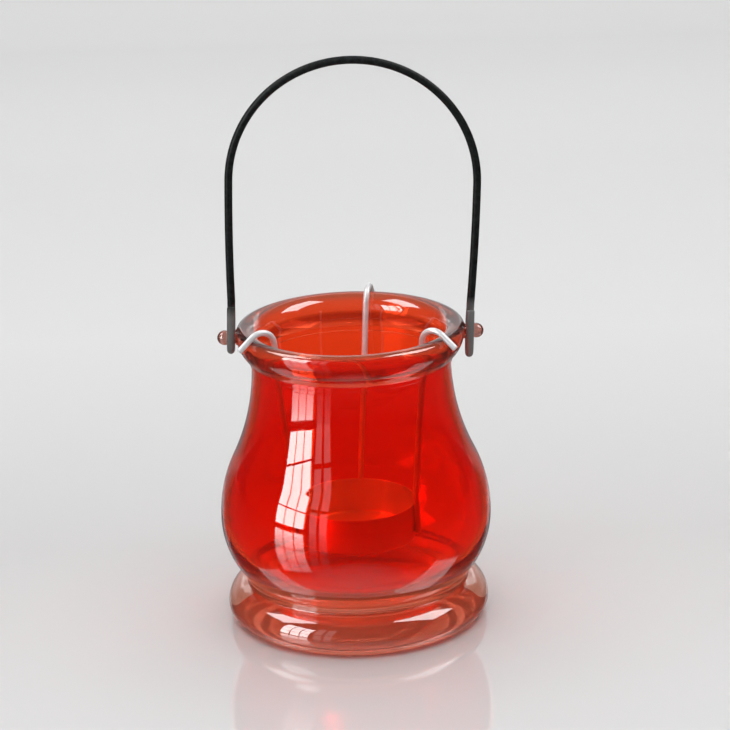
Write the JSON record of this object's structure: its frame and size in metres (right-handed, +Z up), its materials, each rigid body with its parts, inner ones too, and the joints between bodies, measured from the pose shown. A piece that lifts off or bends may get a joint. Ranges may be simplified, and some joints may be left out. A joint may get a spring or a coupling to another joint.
{
  "type": "hanging jar lantern",
  "caption": "Bulbous footed red glass jar with a rolled lip, a swinging black wire bail on glass knobs, and a lift-out tealight cup hung inside on hooked wires.",
  "frame": {"origin": "centre of the foot's underside, on the surface that the jar stands on", "axes": "+Z up along the jar's axis, X through the two knobs that carry the bail, -Y to the picture's camera"},
  "size_m": [0.09, 0.09, 0.1899],
  "materials": {
    "red_glass": "clear glass with a transparent red coat, glossy",
    "black_wire": "black lacquered steel wire, semi-gloss",
    "tin": "drawn tinplate, satin",
    "bright_wire": "bright zinc-plated steel wire, satin"
  },
  "bodies": {
    "jar": {"glass_jar": "red_glass"},
    "bail": {"bail_handle": "black_wire"},
    "insert": {"candle_cup": "tin", "hanger_wire_left": "bright_wire", "hanger_wire_right": "bright_wire", "hanger_wire_back": "bright_wire"}
  },
  "joints": [
    {"name": "bail_swing", "type": "hinge", "parent": "jar", "child": "bail", "pos_m": [0, 0, 0.0972], "axis": [1, 0, 0], "range_deg": [-148, 148]},
    {"name": "insert_lift", "type": "slide", "parent": "jar", "child": "insert", "axis": [0, 0, 1], "range_m": [0, 0.076]}
  ]
}
